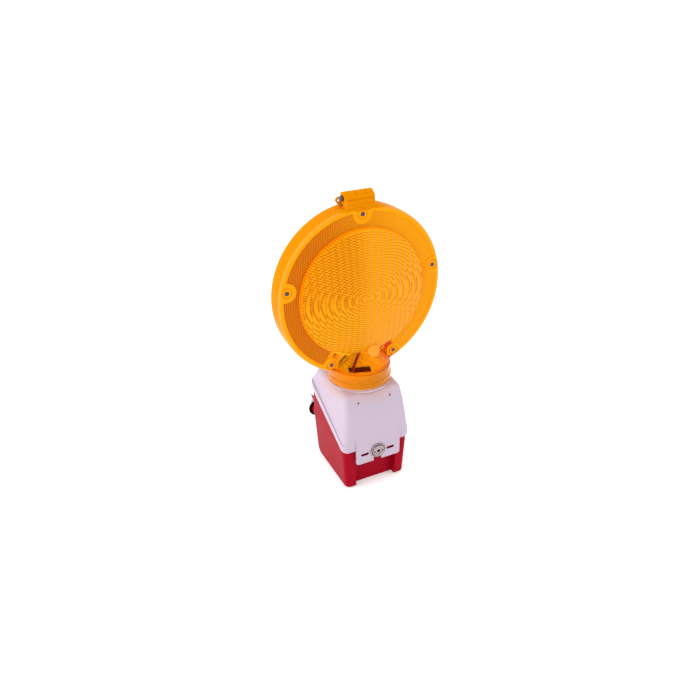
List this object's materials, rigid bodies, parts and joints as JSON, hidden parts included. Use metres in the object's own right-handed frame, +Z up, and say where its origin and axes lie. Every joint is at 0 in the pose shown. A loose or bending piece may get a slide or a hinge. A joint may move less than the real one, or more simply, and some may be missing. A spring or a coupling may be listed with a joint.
{
  "type": "barricade warning lamp",
  "caption": "Battery road-works warning lamp: round amber two-shell lens on a swivel neck, white hinged cover, red battery box and rear fixing studs.",
  "frame": {"origin": "middle of the flat foot of the battery box, where the lamp's swivel axis meets it", "axes": "+Z up along the swivel axis, +Y to the rear towards the fixing studs, +X to the lamp's right seen from the front"},
  "size_m": [0.2014, 0.1314, 0.3585],
  "materials": {
    "red_shell": "smooth injection-moulded red plastic",
    "white_shell": "smooth injection-moulded white plastic",
    "amber_lens": "clear amber polycarbonate",
    "nickel": "nickel plated",
    "passivated_zinc": "yellow-passivated zinc",
    "seal_rubber": "black foam rubber",
    "lens_silicone": "clear silicone, tinted by the lens round it",
    "battery_wrap": "printed wrap, plain here",
    "black_plastic": "black moulded plastic",
    "tray_plastic": "natural white moulded plastic",
    "contact_brass": "bright brass",
    "board_green": "green solder mask",
    "led_resin": "clear pale resin",
    "red_wire": "red insulation"
  },
  "bodies": {
    "base": {"battery_box": "red_shell", "keeper_pads": "red_shell", "cover_seal": "seal_rubber", "battery_case": "battery_wrap", "battery_lid": "black_plastic", "terminal_springs": "contact_brass", "cover_hinge_pin": "nickel", "fixing_bolts": "nickel"},
    "cover": {"cover": "white_shell", "swivel_washer": "tray_plastic", "contact_tray": "tray_plastic", "contact_strips": "contact_brass", "driver_board": "board_green", "driver_chips": "black_plastic", "switch_bodies": "black_plastic", "tray_screws": "nickel", "plug_socket": "black_plastic"},
    "head": {"rear_lens": "amber_lens", "lens_seal": "lens_silicone", "lens_hinge_pin": "nickel", "pin_clip": "nickel", "neck_carrier": "tray_plastic", "led_mast": "tray_plastic", "led_board": "tray_plastic", "led_domes": "led_resin", "mast_screws": "nickel", "black_wire": "black_plastic", "red_wire": "red_wire", "wire_plug": "tray_plastic"},
    "front": {"front_lens": "amber_lens", "lens_screws": "nickel"},
    "lock": {"lock_face": "nickel", "lock_cam": "nickel", "lock_clip": "nickel"},
    "press_left": {"button_left": "black_plastic"},
    "press_right": {"button_right": "black_plastic"},
    "disc_left": {"washer_left": "nickel"},
    "disc_right": {"washer_right": "nickel"},
    "nut_left": {"wing_nut_left": "passivated_zinc"},
    "nut_right": {"wing_nut_right": "passivated_zinc"}
  },
  "joints": [
    {"name": "cover_hinge", "type": "hinge", "parent": "base", "child": "cover", "pos_m": [0, 0.054, 0.104], "axis": [-1, 0, 0], "range_deg": [0, 80]},
    {"name": "head_swivel", "type": "hinge", "parent": "cover", "child": "head", "pos_m": [0, 0, 0.14], "axis": [0, 0, 1], "range_deg": [-170, 170]},
    {"name": "lens_hinge", "type": "hinge", "parent": "head", "child": "front", "pos_m": [0, 0, 0.35175], "axis": [-1, 0, 0], "range_deg": [0, 90]},
    {"name": "lock_turn", "type": "hinge", "parent": "cover", "child": "lock", "pos_m": [0, -0.0498, 0.0515], "axis": [0, 1, 0], "range_deg": [0, 90]},
    {"name": "button_left_press", "type": "slide", "parent": "cover", "child": "press_left", "axis": [0, 1, 0], "range_m": [0, 0.0008], "stiffness_N_per_m": 200, "springref_m": -0.002},
    {"name": "button_right_press", "type": "slide", "parent": "cover", "child": "press_right", "axis": [0, 1, 0], "range_m": [0, 0.0008], "stiffness_N_per_m": 200, "springref_m": -0.002},
    {"name": "washer_left_slide", "type": "slide", "parent": "base", "child": "disc_left", "axis": [0, 1, 0], "range_m": [0, 0.005]},
    {"name": "washer_right_slide", "type": "slide", "parent": "base", "child": "disc_right", "axis": [0, 1, 0], "range_m": [0, 0.005]},
    {"name": "nut_left_turn", "type": "hinge", "parent": "disc_left", "child": "nut_left", "pos_m": [-0.03, 0.066, 0.054], "axis": [0, 1, 0], "range_deg": [0, 1440]},
    {"name": "nut_right_turn", "type": "hinge", "parent": "disc_right", "child": "nut_right", "pos_m": [0.03, 0.066, 0.054], "axis": [0, 1, 0], "range_deg": [0, 1440]}
  ],
  "couplings": [
    {"joint": "washer_left_slide", "follows": "nut_left_turn", "m_per_rad": 0.00019894},
    {"joint": "washer_right_slide", "follows": "nut_right_turn", "m_per_rad": 0.00019894}
  ]
}
